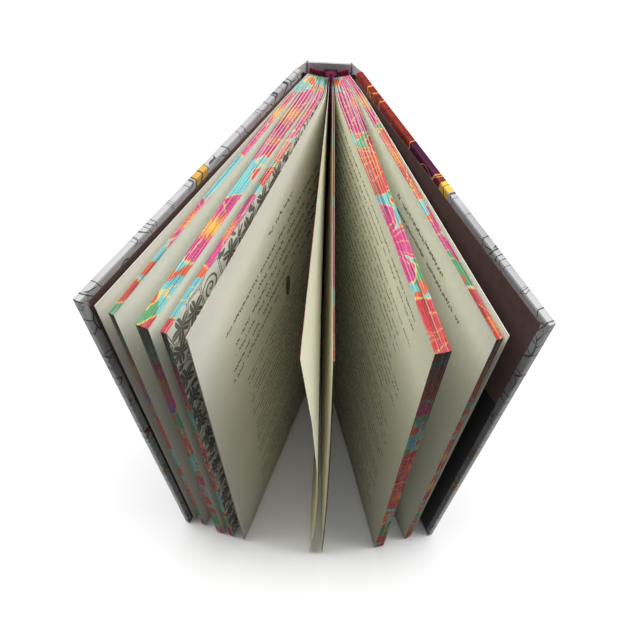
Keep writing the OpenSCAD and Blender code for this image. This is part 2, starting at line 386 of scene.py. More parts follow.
# leaves of each group: thin slabs that lie close and part a little near the spine
leafStyle = dict(
    thick=0.11, levels=6, trim=0.1, parting=9, partWeight=(0.5, 1.2), air=0.45, single=0.12, spread=0.6,
    alone={3: 2, 4: 1, 5: 2}, bare={3: 4.0, 4: 0.5, 5: 0.5}, thinGroup=4, seed=4,
)
edgePrint, plainPage, textLeft, textRight, fewLines, scrollPage, thinPage, paintedShadePage = range(8)
openFaces = {
    (2, 1): scrollPage, (3, 1): textLeft, (5, -1): paintedShadePage, (6, -1): textRight, (7, -1): fewLines,
}


def addSlab(pile, sides, ends, mats, bare):
    stops = leafStations()
    wide = fan["pageWidth"]
    left, right = sides[-1], sides[1]
    for side in (-1, 1):
        spots = [[(s, row[j][2], 0) for j, s in enumerate(stops)] for row in sides[side]]
        pile.grid(sides[side], mats[side], spots, flip=side > 0)
    # the print runs out along the head, down the fore-edge and back along the tail
    headSpots = [[(s, u, bare) for s in stops] for u in ends]
    tailSpots = [[(2 * wide + headZ - s, u, bare) for s in stops] for u in ends]
    foreL, foreR = [row[-1] for row in left], [row[-1] for row in right]
    foreSpots = [[(wide + headZ - p[2], u, 0) for p in foreL] for u in ends]
    pile.grid([left[-1], right[-1]], edgePrint, headSpots)
    pile.grid([left[0], right[0]], edgePrint, tailSpots, flip=True)
    pile.grid([foreL, foreR], edgePrint, foreSpots, flip=True)
    pile.grid([[row[0] for row in left], [row[0] for row in right]], plainPage)


def addGroup(pile, k, dicer):
    stops = leafStations()
    thick = fan["groups"][k]
    loose = k in leafStyle["alone"]
    count = leafStyle["alone"][k] if loose else max(2, round(thick / leafStyle["thick"]))
    every = leafStyle["parting"]
    partings = [] if loose else [i for i in range(1, count) if i % every == every // 2]
    weights = {i: dicer.uniform(*leafStyle["partWeight"]) for i in partings}
    weightSum = sum(weights.values())
    levels = [l / (leafStyle["levels"] - 1) for l in range(leafStyle["levels"])]
    root = onArch(rootTurn[k], archRadius)
    paths = [walk(root, rootTurn[k], turnAt(k, share), stops) for share in levels]
    puffs = {-1: 0 if k == 0 else 1, 1: 0 if k == lastGroup else 1}
    plain = thinPage if k == leafStyle["thinGroup"] else plainPage

    def offset(leaf, side, distance):
        low = -thick / 2 * (loosen(distance) + puffs[-1] * sprung(distance))
        high = thick / 2 * (loosen(distance) + puffs[1] * sprung(distance))
        if loose:
            place = (leaf - (count - 1) / 2) * leafStyle["spread"] * (high - low)
            return (low + high) / 2 + place + leafStyle["single"] / 2 * side
        room = leafStyle["air"] * (high - low - thick * loosen(distance)) if partings else 0.0
        sheet = (high - low - room) / count
        before = sum(w for i, w in weights.items() if i <= leaf) / weightSum * room if partings else 0.0
        return low + before + sheet * (leaf + (side > 0))

    for leaf in range(count):
        tailCut, headCut, foreCut = (dicer.uniform(0, leafStyle["trim"]) for c in range(3))
        sides = {}
        for side in (-1, 1):
            rows = []
            for share, path in zip(levels, paths):
                turn = turnAt(k, share)
                z = fan["tailGap"] + tailCut + (fan["pageHeight"] - tailCut - headCut) * share
                row = []
                for j, distance in enumerate(stops):
                    here = bent(rootTurn[k], turn, distance)
                    spot = path[j] + offset(leaf, side, distance) * across(here)
                    if j == len(stops) - 1:
                        spot = spot - foreCut * ahead(here)
                    row.append((spot[0], spot[1], z))
                rows.append(row)
            sides[side] = rows
        mats = {
            -1: openFaces.get((k, -1), plain) if leaf == 0 else plain,
            1: openFaces.get((k, 1), plain) if leaf == count - 1 else plain,
        }
        bare = leafStyle["bare"][k] if loose else 1.0 if leaf in partings else 0.0
        middle, half = closedStart[k] + thick * (leaf + 0.5) / count, 0.5 * thick / count
        addSlab(pile, sides, (middle - half, middle + half), mats, bare)


# glued back that carries the leaves
backStyle = dict(lap=0.25, margin=0.3, inset=0.15, steps=48)


def addBack(pile, style):
    outer, inner = archRadius + style["lap"], archRadius - fan["backThick"]
    edge = fan["arch"] - style["margin"]
    angles = [edge * (2 * k / style["steps"] - 1) for k in range(style["steps"] + 1)]
    low, high = fan["tailGap"] + style["inset"], headZ - style["inset"]
    loop = ((outer, low), (outer, high), (inner, high), (inner, low), (outer, low))
    pile.grid([[(*onArch(a, r), z) for a in angles] for r, z in loop], plainPage, flip=True)
    for a, flip in ((angles[0], False), (angles[-1], True)):
        side = [[(*onArch(a, r), z) for r in (inner, outer)] for z in (low, high)]
        pile.grid(side, plainPage, flip=flip)


# printed edges: big blossoms and leaves in bright inks, drawn over the closed block
edgeInk = dict(
    cell=37.0, origin=(0.82, 0.61), sway=(0.16, -0.14), slip=2.6, line=0.009, lineStrength=0.85,
    scatter=0.7, petals=5, petalRound=0.6, petalLong=0.3, heartLong=0.22, rayLong=0.15, rayRoot=0.04,
    leafCells=(2.6, 3.4), leafScatter=0.9, leafLong=0.42, leafWide=0.05, leafFrom=0.35, leafLineFrom=0.3,
    dark=0.8, rubbed=0.5, foreFade=90, foreDarken=(1.4, 0.12), bareFade=(30.0, 90.0), bareShare=(-0.7, 0.85),
    blossom=(
        rgb(176, 50, 60), rgb(180, 48, 108), rgb(172, 48, 60), rgb(178, 54, 56), rgb(120, 70, 146),
        rgb(184, 60, 52), rgb(182, 50, 114), rgb(174, 46, 56), rgb(180, 50, 112), rgb(176, 48, 104),
    ),
    ground=(rgb(100, 172, 174), rgb(92, 166, 176), rgb(104, 174, 170), rgb(76, 140, 96)),
    leaf=rgb(192, 86, 48), heart=rgb(206, 112, 40), vein=rgb(214, 172, 70), pale=rgb(214, 182, 96),
    paper=rgb(206, 200, 184), shadow=(0.28, 0.22, 0.3, 1),
)


def edgeMaterial(style):
    material, shader = newMaterial("printedEdge", 0.75, 0.15)
    along, deep, bare = attributeSpot()
    wide = float(fan["pageWidth"])
    onHead = below(along, wide)
    # each leaf slips a little against the next
    slip = flatNoise(scaled(deep, 3.0), 0.0)
    place = calc("ADD", along, scaled(slip, style["slip"]))
    x = scaled(place, 1 / style["cell"], style["origin"][0])
    y = scaled(deep, 1 / style["cell"], style["origin"][1])
    wobble = flatNoise(x, y, 4.2)
    swayX, swayY = scaled(wobble, style["sway"][0], x), scaled(wobble, style["sway"][1], y)
    reach, angle, chances, depth = blossomCells(swayX, swayY, style)
    inside = above(depth, 0.0)
    outline = below(absolute(depth), style["line"])
    petal = pickColour(chances[0], style["blossom"])
    # burst of warm colour that runs out from the heart
    rays = sinWave(angle, style["petals"] * 1.5)
    burst = minus(scaled(rays, style["rayLong"], style["rayRoot"]), reach)
    petal = mixColour(smooth(burst, -0.03, 0.05), petal, style["heart"])
    petal = mixColour(smooth(burst, 0.04, 0.12), petal, style["vein"])
    veins = both(below(rays, 0.12), below(reach, 0.36), inside)
    # ground with small pointed leaves
    patch = smooth(flatNoise(x, y, 1.1, 0.0), 0.28, 0.72)
    ground = pickColour(patch, style["ground"])
    leafDepth, blank, leafChance = leafCells(swayX, swayY, style)
    leafMask = both(above(leafDepth, 0.0), above(leafChance[0], style["leafFrom"]))
    leafLine = both(below(absolute(leafDepth), 0.03), inverse(inside))
    leafLine = both(leafLine, above(leafChance[1], style["leafLineFrom"]))
    ground = mixColour(leafMask, ground, style["leaf"])
    colour = mixColour(inside, ground, petal)
    lines = anyOf(outline, leafLine, veins)
    colour = mixColour(scaled(lines, style["lineStrength"]), colour, style["pale"])
    # leaf by leaf streaks, painted shade where an edge sits back, pale where bare paper shows
    streak = flatNoise(scaled(along, 0.02), scaled(deep, 2.4))
    setBackShade = scaled(smooth(streak, 0.53, 0.61), style["dark"])
    colour = mixColour(setBackShade, colour, style["shadow"], "MULTIPLY")
    fine = flatNoise(scaled(along, 0.03), scaled(deep, 3.1, 7.0))
    rubbed = scaled(smooth(fine, 0.61, 0.68), style["rubbed"])
    colour = mixColour(rubbed, colour, style["paper"])
    # the fore-edge is darkened towards the head and lightened towards the tail
    fore = smooth(along, wide, wide + style["foreFade"])
    foreDarkening = anyOf(onHead, scaled(fore, *style["foreDarken"]))
    colour = mixColour(1.0, colour, foreDarkening, "MULTIPLY")
    # leaves that stand apart are bare at the head, most of all near the spine
    near = scaled(smooth(along, *style["bareFade"]), *style["bareShare"])
    share = calc("MINIMUM", both(bare, near, onHead), 1.0)
    colour = mixColour(share, colour, style["paper"])
    paint(shader, colour, streak, 0.3, 0.0001)
    return material


# cream book paper, with rows of print where a page is open to view
paperNoise, paperTooth = (420.0, 3.0), (0.12, 0.0002)
pageInk = dict(
    paper=rgb(238, 238, 227), shade=rgb(231, 231, 218), through=rgb(254, 253, 240), ink=rgb(30, 28, 24),
)
rowStyle = dict(
    letter=9.0, rise=0.5, body=(0.38, 0.58), ragged=0, word=5.0, wordRate=1.7, wordFrom=0.36,
    markRate=(1.3, 0.8), markFrom=(0.36, 0.5), rowShift=50.0, wordShift=(60.0, 3.7), strength=0.92,
)
# the open left page takes a brighter copy of the page paper: painted light
litLeftPaper = dict(pageInk, paper=rgb(247, 246, 241), shade=rgb(242, 241, 234))
leftRows = [
    dict(rowStyle, pitch=9.0, inner=47, outer=76, top=204, bottom=194, seed=8.0, body=(0.42, 0.58)),
    dict(
        rowStyle, pitch=6.6, inner=19, outer=118, top=192, bottom=153, ragged=12, seed=9.0,
        body=(0.38, 0.6), rise=0.6, word=6.0,
    ),
    dict(
        rowStyle, pitch=4.3, inner=14, outer=107, top=142, bottom=24, ragged=18, seed=3.0,
        rise=0.4, word=4.5,
    ),
]
leftOval = dict(across=59, height=148.5, wide=2.5, tall=7.0, strength=0.85)
rightPaper = dict(pageInk, paper=rgb(238, 236, 212), shade=rgb(231, 229, 203))
rightRows = [dict(rowStyle, pitch=4.6, inner=15, outer=122, top=213, bottom=20, ragged=22, seed=5.0)]
fewPaper = dict(pageInk, paper=rgb(238, 238, 221), shade=rgb(231, 231, 212))
fewRows = [
    dict(
        rowStyle, pitch=6.4, inner=60, outer=120, top=210, bottom=197, ragged=12, seed=2.0,
        body=(0.36, 0.58), rise=0.6, word=6.0,
    ),
    dict(rowStyle, pitch=4.8, inner=24, outer=112, top=176, bottom=120, ragged=30, seed=6.0),
]


def paperGrain():
    return noise(objectSpot(), *paperNoise)


def mottle(grain, cloudScale, cloudDetail):
    cloud = noise(objectSpot(), cloudScale, cloudDetail)
    return smooth(scaled(grain, 0.5, scaled(cloud, 0.5)), 0.35, 0.65)


def textRows(lay):
    s, z, blank = attributeSpot()
    fall = scaled(z, -1 / lay["pitch"], lay["top"] / lay["pitch"])
    row = calc("FLOOR", fall)
    chance = dice(row, lay["seed"])
    # strokes rise and fall from letter to letter
    letters = flatNoise(s, scaled(chance, lay["rowShift"]), lay["letter"] / lay["pitch"], 1.0)
    stroke = scaled(letters, lay["rise"], fraction(fall))
    low, high = (edge + lay["rise"] / 2 for edge in lay["body"])
    body = between(stroke, low, high)
    wordRow = scaled(chance, lay["wordShift"][0], scaled(row, lay["wordShift"][1]))
    words = flatNoise(scaled(s, lay["wordRate"] / lay["word"]), wordRow, 1.0, 0.0)
    word = above(words, lay["wordFrom"])
    markS, markZ = scaled(s, lay["markRate"][0]), scaled(z, lay["markRate"][1], chance)
    marks = smooth(flatNoise(markS, markZ, 1.0, 1.0), *lay["markFrom"])
    # a few rows end early
    short = power(dice(row, lay["seed"] + 11), 4.0)
    end = scaled(short, -3.0 * lay["ragged"], lay["outer"])
    area = both(above(s, lay["inner"]), below(s, end))
    area = both(area, between(z, lay["bottom"], lay["top"]))
    return scaled(both(body, word, marks, area), lay["strength"])


def ovalMark(style):
    s, z, blank = attributeSpot()
    a = scaled(s, 1 / style["wide"], -style["across"] / style["wide"])
    b = scaled(z, 1 / style["tall"], -style["height"] / style["tall"])
    reach = scaled(a, a, product(b, b))
    return scaled(below(reach, 1.0), style["strength"])


def pageMaterial(name, style, rows, oval=None, glow=0.0):
    material, shader = newMaterial(name, 0.78)
    grain = paperGrain()
    colour = mixColour(mottle(grain, 9.0, 2.0), style["shade"], style["paper"])
    masks = [textRows(lay) for lay in rows] + ([ovalMark(oval)] if oval else [])
    for mask in masks:
        colour = mixColour(mask, colour, style["ink"])
    paint(shader, colour, grain, *paperTooth)
    if glow:
        # a leaf on its own lets light through
        through = put("ShaderNodeBsdfTranslucent", Color=style["through"])
        mixShaders(glow, shader, through)
    return material


# ornament page: dark lobed leaves and curls on pale paper
scrollInk = dict(
    paper=rgb(238, 236, 226), ink=rgb(80, 77, 66), strength=0.9, cell=13.0, scatter=0.65,
    lobes=2.5, lobeLong=0.28, lobeRoot=0.18, vein=0.1, coilRate=30.0, coilLong=0.42, coilFrom=0.88,
    stemAt=0.035, stemHalf=0.014, sprigs=2.1, sprigLong=0.34, sprigWide=0.1, sprigOut=0.46, sprigFrom=0.4,
)


def scrollMaterial(style):
    material, shader = newMaterial("scrollPage", 0.75)
    s, z, blank = attributeSpot()
    x, y = scaled(s, 1 / style["cell"]), scaled(z, 1 / style["cell"])
    reach, angle, chances = flowerCells(x, y, style["scatter"])
    # most cells hold a lobed leaf, a few hold a coil
    lobe = scaled(cosWave(angle, style["lobes"]), style["lobeLong"], style["lobeRoot"])
    vein = above(sinWave(angle, style["lobes"]), style["vein"])
    leafMask = both(below(reach, lobe), vein)
    coil = above(sine(scaled(reach, style["coilRate"], angle)), 0.5)
    coilMask = both(coil, below(reach, style["coilLong"]))
    isCoil = above(chances[0], style["coilFrom"])
    isLeaf = inverse(isCoil)
    # stems along the cells' borders, with sprigs beside them
    borders = {"voronoi_dimensions": "2D", "feature": "DISTANCE_TO_EDGE"}
    rims = put("ShaderNodeTexVoronoi", borders, Scale=1.0, Randomness=style["scatter"])
    wire(rims, "Vector", joinXy(x, y))
    fromStem = absolute(scaled(rims.outputs[0], 1.0, -style["stemAt"]))
    stem = below(fromStem, style["stemHalf"])
    sprigX, sprigY = scaled(x, style["sprigs"]), scaled(y, style["sprigs"])
    sprigReach, sprigAngle, sprigChance = flowerCells(sprigX, sprigY, 0.9)
    sprigRim = scaled(cosWave(sprigAngle), style["sprigLong"], style["sprigWide"])
    sprig = both(below(sprigReach, sprigRim), above(reach, style["sprigOut"]))
    sprig = both(sprig, above(sprigChance[1], style["sprigFrom"]))
    ink = anyOf(both(leafMask, isLeaf), both(coilMask, isCoil), stem, sprig)
    grain = paperGrain()
    colour = mixColour(scaled(ink, style["strength"]), style["paper"], style["ink"])
    colour = mixColour(scaled(grain, 0.06), colour, style["paper"])
    paint(shader, colour, grain, *paperTooth)
    return material


# page with painted shade, darker towards the gutter
paintedShadeInk = dict(deep=rgb(168, 160, 132), light=rgb(222, 218, 200), start=70.0, stop=150.0, ragged=12.0)


def paintedShadeMaterial(style):
    material, shader = newMaterial("paintedShadePage", 0.8)
    s, z, blank = attributeSpot()
    grain = paperGrain()
    # painted shade: darker towards the gutter, paler towards the fore-edge, with a ragged border
    tone = smooth(scaled(grain, style["ragged"], s), style["start"], style["stop"])
    colour = mixColour(tone, style["deep"], style["light"])
    paint(shader, colour, grain, *paperTooth)
    return material


def makePages():
    dicer = random.Random(leafStyle["seed"])
    pile = MeshPile()
    for k in range(lastGroup + 1):
        addGroup(pile, k, dicer)
    addBack(pile, backStyle)
    materials = [
        edgeMaterial(edgeInk), pageMaterial("plainPage", pageInk, []),
        pageMaterial("leftTextPage", litLeftPaper, leftRows, leftOval),
        pageMaterial("rightTextPage", rightPaper, rightRows),
        pageMaterial("fewLinesPage", fewPaper, fewRows), scrollMaterial(scrollInk),
        pageMaterial("thinPage", pageInk, [], glow=0.92), paintedShadeMaterial(paintedShadeInk),
    ]
    item = pile.build("textBlock", materials)
    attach(item, "book_block")
    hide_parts("page_block")
    print("text block", len(item.data.polygons), "faces")


makePages()

# case, in the frame of one cover: outer face at X 0, board towards -Y
case = dict(
    height=222, board=2.7, angle=25.9, run=(4.6, 6.9), foldGap=0.3, joint=0.4, round=0.35, spineRound=0.5,
    turnIn=15, flap=0.12, lap=0.05, inset=0.5, slant=0.35, foldEase=0.2,
    spineFlap=0.3, spineInset=0.1, spineEnd=0.4,
)
foldX = spineWidth / 2 + case["run"][0]
foldY = fan["spineThick"] / 2 - case["run"][1]
coverOut = ahead(case["angle"])
coverWidth = (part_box("back_wrap")[1].x / mm - foldX) / coverOut[0]


def mirrored(side):
    return Matrix.Scale(-1, 4, (1, 0, 0)) if side < 0 else Matrix.Identity(4)


def coverFrame(side):
    turn = Matrix.Rotation(math.radians(case["angle"]), 4, "Z")
    return mirrored(side) @ Matrix.Translation((foldX, foldY, 0)) @ turn


# covering paper: pale, with blossoms and leaves in pen, and a field of strong colour on the back
inkPaper = dict(
    paper=rgb(172, 171, 173), shade=rgb(214, 213, 216), ink=rgb(22, 20, 22), gold=rgb(208, 160, 74),
    cell=40.0, line=0.32, sway=(0.34, -0.3), scatter=0.75, petals=5, petalRound=0.55, petalLong=0.2,
    heartLong=0.26, innerRim=0.13, heart=0.06,
    leafCells=(2.4, 2.4), leafScatter=0.9, leafLong=0.46, leafWide=0.05,
    strands=7.0, fieldEdge=50.0, strokes=(0.5, 0.8), strokeFade=-0.0032, strokeFrom=(0.08, 0.14),
)
white = inkPaper["paper"]
plainInk = dict(
    fieldTo=-60, pen=0.85, fields=(white, white), petals=(white, white), accents=(white, white),
    accentFrom=0.5, cornerOut=0, cornerUp=0,
)
frontInk = dict(
    plainInk, accents=(rgb(196, 152, 72), rgb(112, 20, 52), rgb(98, 62, 48)), cornerOut=108, cornerUp=178,
)
backInk = dict(
    plainInk, fieldTo=84, cornerOut=108, cornerUp=150,
    fields=(rgb(70, 14, 52), rgb(84, 18, 62), rgb(112, 32, 26), rgb(74, 16, 56), rgb(122, 38, 28)),
    petals=(rgb(128, 40, 30), rgb(92, 22, 70), white, rgb(200, 150, 68), rgb(112, 34, 30)),
    accents=(rgb(214, 176, 72), rgb(204, 160, 70), rgb(120, 26, 56)),
)
spineInk = dict(plainInk, pen=0.12, accentFrom=1.0)
spineWhite = dict(inkPaper, paper=rgb(214, 213, 215))


def inkMaterial(name, style, art, side):
    material, shader = newMaterial(name, 0.42)
    # the sheet laid flat: distance out from the fold, and height
    reachOut = put("ShaderNodeVectorMath", {"operation": "DOT_PRODUCT"})
    fill(reachOut, objectSpot(), (side * coverOut[0], coverOut[1], 0))
    far = scaled(reachOut.outputs["Value"], 1 / mm, -foldX * coverOut[0] - foldY * coverOut[1])
    high = scaled(splitXyz(objectSpot())[2], 1 / mm)
    sway = noise(objectSpot(), 34.0, 2.0)
    cell, line = style["cell"], style["line"] / style["cell"]
    x = scaled(sway, style["sway"][0], scaled(far, 1 / cell))
    y = scaled(sway, style["sway"][1], scaled(high, 1 / cell))
    # blossoms
    reach, angle, chances, depth = blossomCells(x, y, style)
    inside = above(depth, 0.0)
    outside = inverse(inside)
    rim = below(absolute(depth), line)
    innerRim = below(absolute(scaled(depth, 1.0, -style["innerRim"])), line * 0.6)
    rays = sinWave(angle, style["petals"] * 2)
    hatch = both(below(rays, 0.16), between(depth, 0.015, 0.1))
    heart = between(reach, style["heart"] - line, style["heart"] + line)
    # leaves between them
    leafDepth, leafAngle, leafChance = leafCells(x, y, style)
    leaf = both(above(leafDepth, 0.0), outside)
    leafRim = both(below(absolute(leafDepth), line * style["leafCells"][0]), outside)
    midrib = both(leaf, below(sinWave(leafAngle), 0.07))
    # loose strands on the open ground
    flow = fraction(scaled(flatNoise(x, y, 0.9, 1.0), style["strands"]))
    strand = both(below(flow, 0.06), outside, inverse(leaf))
    # colour fields
    drift = flatNoise(x, y, 1.1)
    edge = style["fieldEdge"]
    field = below(scaled(drift, edge, far), art["fieldTo"] + edge / 2)
    ground = pickColour(smooth(drift, 0.3, 0.7), art["fields"])
    ground = mixColour(inside, ground, pickColour(chances[0], art["petals"]))
    colour = mixColour(field, style["paper"], ground)
    # leaves picked out in colour, clear of the top corner
    clear = anyOf(below(far, art["cornerOut"]), below(high, art["cornerUp"]))
    accent = both(leaf, above(leafChance[0], art["accentFrom"]), clear)
    colour = mixColour(accent, colour, pickColour(leafChance[1], art["accents"]))
    cloud = smooth(noise(objectSpot(), 30.0, 2.0), 0.45, 0.75)
    colour = mixColour(cloud, colour, style["shade"], "MULTIPLY")
    # close pen strokes on the open ground, heavier towards the foot
    slant = scaled(far, style["strokes"][0], scaled(high, style["strokes"][1]))
    heavy = smooth(scaled(high, style["strokeFade"], drift), *style["strokeFrom"])
    shading = both(below(fraction(slant), 0.5), heavy)
    shading = both(shading, outside, inverse(anyOf(field, leaf)))
    pen = mixColour(field, style["ink"], style["gold"])
    drawn = scaled(anyOf(rim, leafRim, strand), art["pen"])
    colour = mixColour(drawn, colour, pen)
    inked = scaled(anyOf(innerRim, hatch, heart, midrib, shading), art["pen"])
    colour = mixColour(inked, colour, style["ink"])
    paint(shader, colour, noise(objectSpot(), 900.0, 2.0), 0.08, 0.0001)
    wire(shader, "Coat Weight", 0.08)
    wire(shader, "Coat Roughness", 0.4)
    return material


frontPaper = inkMaterial("frontCoverPaper", inkPaper, frontInk, -1)
backPaper = inkMaterial("backCoverPaper", inkPaper, backInk, 1)
spinePaper = inkMaterial("spineCoverPaper", spineWhite, spineInk, 1)


def slabMesh(work, low, high, width, segments=3):
    made = bmesh.ops.create_cube(work, size=1.0)["verts"]
    for vert in made:
        vert.co = Vector([low[i] + (high[i] - low[i]) * (vert.co[i] + 0.5) for i in range(3)])
    edges = list({edge for vert in made for edge in vert.link_edges})
    shape = dict(segments=segments, profile=0.5, affect="EDGES", clamp_overlap=True)
    bmesh.ops.bevel(work, geom=edges, offset=width, **shape)


def prism(work, outline, low, high):
    # outline in Y and Z, thickness along X
    bottom = [work.verts.new((low, y, z)) for y, z in outline]
    top = [work.verts.new((high, y, z)) for y, z in outline]
    faces = [work.faces.new(bottom[::-1]), work.faces.new(top)]
    for i in range(len(outline)):
        j = (i + 1) % len(outline)
        faces.append(work.faces.new((bottom[i], bottom[j], top[j], top[i])))
    bmesh.ops.recalc_face_normals(work, faces=faces)


def dress(word, material):
    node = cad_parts[word]
    node.data.materials.clear()
    node.data.materials.append(material)


def finishMesh(work, name, place, material, smoothAngle=35):
    mesh = bpy.data.meshes.new(name)
    if place.determinant() < 0:
        bmesh.ops.reverse_faces(work, faces=work.faces)
    work.to_mesh(mesh)
    work.free()
    mesh.transform(Matrix.Scale(mm, 4) @ place)
    mesh.materials.append(material)
    return addSmooth(name, mesh, smoothAngle)


def makeCover(side, word, material):
    width, height, board = coverWidth, case["height"], case["board"]
    work = bmesh.new()
    slabMesh(work, (-board + case["flap"], -width, 0), (0, -case["foldGap"], height), case["round"])
    # turned-in margins, cut on the slant at the corners
    turn, inset, slant = case["turnIn"], case["inset"], case["slant"]
    near, far = -case["foldGap"] - case["foldEase"], -width
    head = [
        (far + inset, height - inset), (far + turn, height - turn),
        (near, height - turn), (near, height - inset),
    ]
    tail = [(y, height - z) for y, z in head][::-1]
    fore = [
        (far + inset, inset + slant), (far + turn, turn + slant),
        (far + turn, height - turn - slant), (far + inset, height - inset - slant),
    ]
    for outline in (head, tail, fore):
        prism(work, outline, -board, -board + case["flap"] + case["lap"])
    item = finishMesh(work, word + "CoverPaper", coverFrame(side), material)
    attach(item, word + "_cover")
    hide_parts(word + "_wrap", word + "_board")


def makeSpine():
    work = bmesh.new()
    half, thick = spineWidth / 2, fan["spineThick"] / 2
    slabMesh(work, (-half, -thick + case["flap"], 0), (half, thick, case["height"]), case["spineRound"])
    half, inner = half - case["spineInset"], -thick + case["spineFlap"]
    rise = case["turnIn"] - case["spineEnd"]
    for z in (case["spineEnd"], case["height"] - case["turnIn"]):
        slabMesh(work, (-half, -thick, z), (half, inner, z + rise), case["lap"], 1)
    item = finishMesh(work, "spineCoverPaper", Matrix.Identity(4), spinePaper)
    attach(item, "book_block")
    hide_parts("spine_wrap", "spine_board")


# paper across the grooves, one sheet from the spine onto the cover
jointStyle = dict(
    lap=0.6, sink=0.03, corner=0.15, dip=0.5, steps=12, rows=8, inset=0.25, bend=(1.0, 0.8), level=0.11,
    tuck=(0.4, 0.9, 1.6, 3.0, 6.0), taper=(0.35, 0.3, 0.2, 0.12, 0.04),
)


def makeJoint(side, word, style):
    edge = np.array((spineWidth / 2, fan["spineThick"] / 2))
    start = edge - np.array((style["lap"], style["sink"]))
    corner = edge + np.array((style["corner"], -style["corner"]))
    fold = np.array((foldX, foldY))
    dip = (corner + fold) / 2 - style["dip"] * across(case["angle"])
    line = [start]
    for k in range(style["steps"] + 1):
        t = k / style["steps"]
        line.append(corner * (1 - t) ** 2 + 2 * dip * t * (1 - t) + fold * t * t)
    thick = [case["joint"]] * len(line) + list(style["taper"])
    line += [fold + coverOut * d for d in style["tuck"]]
    inner = []
    for k, t in enumerate(thick):
        run = line[min(k + 1, len(line) - 1)] - line[max(k - 1, 0)]
        run = run / np.linalg.norm(run)
        inner.append(line[k] + np.array((run[1], -run[0])) * t)
    loop = line + inner[::-1]
    levels = [case["height"] * k / style["rows"] for k in range(style["rows"] + 1)]
    levels[0], levels[-1] = style["inset"], case["height"] - style["inset"]
    work = bmesh.new()
    rings = [[work.verts.new((x, y, z)) for x, y in loop] for z in levels]
    count, wide = len(loop), len(line)
    for low, high in zip(rings[:-1], rings[1:]):
        for j in range(count):
            i = (j + 1) % count
            work.faces.new((low[j], low[i], high[i], high[j]))
    for ring in (rings[0], rings[-1]):
        for j in range(wide - 1):
            work.faces.new((ring[j], ring[j + 1], ring[count - 2 - j], ring[count - 1 - j]))
    bmesh.ops.recalc_face_normals(work, faces=work.faces)
    item = finishMesh(work, word + "JointPaper", mirrored(side), spinePaper, 60)
    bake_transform(item)
    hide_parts(word + "_joint")


for side, word, paper in ((-1, "front", frontPaper), (1, "back", backPaper)):
    makeCover(side, word, paper)
    makeJoint(side, word, jointStyle)
makeSpine()
print("case covered")

# endpapers: deep brown over a black field on the side that faces the board, cream on the other
endInk = dict(
    brown=rgb(114, 91, 86), deep=rgb(101, 80, 76), black=rgb(16, 13, 13), level=0.150, slant=0.12,
    paper=rgb(240, 236, 226), shade=rgb(233, 229, 217), sheet=0.15, seat=0.03, rows=8,
    hinge=0.16, hingeGap=0.12, hingeRun=(4, 0.5),
)


def brownMaterial(name, style):
    material, shader = newMaterial(name, 0.6)
    grain = noise(objectSpot(), 260.0, 4.0)
    colour = mixColour(mottle(grain, 14.0, 3.0), style["deep"], style["brown"])
    x, y, z = splitXyz(objectSpot())
    border = scaled(y, style["slant"], z)
    colour = mixColour(below(border, style["level"]), colour, style["black"])
    paint(shader, colour, grain, 0.15, 0.0002)
    return material


brownPaper = brownMaterial("brownEndpaper", endInk)
creamPaper = pageMaterial("creamEndpaper", endInk, [])


def makeEndpaper(e, side, word, style):
    k = 0 if side < 0 else lastGroup
    stops = leafStations()
    seat = (rootWidth[k] + fan["endpaper"]) / 2 + style["seat"]
    root = onArch(rootTurn[k], archRadius) + side * seat * across(rootTurn[k])
    path = walk(root, rootTurn[k], fan["endTurn"][e], stops)
    turns = [bent(rootTurn[k], fan["endTurn"][e], s) for s in stops]
    levels = [fan["tailGap"] + fan["pageHeight"] * l / style["rows"] for l in range(style["rows"] + 1)]
    pile = MeshPile()
    faces = {}
    for face in (-1, 1):
        line = [p + face * style["sheet"] / 2 * across(turn) for p, turn in zip(path, turns)]
        faces[face] = [[(p[0], p[1], z) for p in line] for z in levels]
        pile.grid(faces[face], 1 if face == side else 0, flip=face > 0)
    left, right = faces[-1], faces[1]
    pile.grid([left[-1], right[-1]], 0)
    pile.grid([left[0], right[0]], 0, flip=True)
    for j, flip in ((-1, True), (0, False)):
        pile.grid([[row[j] for row in left], [row[j] for row in right]], 0, flip=flip)
    # folded hinge against the joint
    fold = np.array((foldX, foldY))
    run = fold - np.array((spineWidth / 2, fan["spineThick"] / 2 - case["joint"] / 2))
    run = run / np.linalg.norm(run)
    inward = np.array((run[1], -run[0])) * (case["joint"] + style["hingeGap"])
    hinge = [np.array((side * root[0], root[1]))] + [fold - run * d + inward for d in style["hingeRun"]]
    outer = [(side * p[0], p[1]) for p in hinge]
    inner = [(side * p[0], p[1] - style["hinge"]) for p in hinge]
    low, high = levels[0], levels[-1]
    loop = outer + inner[::-1] + outer[:1]
    pile.grid([[(x, y, z) for x, y in loop] for z in (low, high)], 1, flip=side < 0)
    for z, flip in ((high, side > 0), (low, side < 0)):
        pile.grid([[(x, y, z) for x, y in outer], [(x, y, z) for x, y in inner]], 1, flip=flip)
    item = pile.build(word + "Endpaper", [creamPaper, brownPaper])
    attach(item, "book_block")
    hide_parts(word + "_endpaper")


for e, side, word in ((0, -1, "front"), (1, 1, "back")):
    makeEndpaper(e, side, word, endInk)
    dress(word + "_pastedown", brownPaper)
print("endpapers laid")

# head and tail bands: a ribbed bead over a strip glued down the back
bandStyle = dict(
    skirt=7, skirtThick=0.32, ribs=26, ribSteps=6, depth=0.22, head=2.4, tail=1.7, foot=0.35, steps=14,
    seat=0.02, reach=0.985, thread=rgb(132, 22, 64), dark=rgb(34, 5, 16),
)


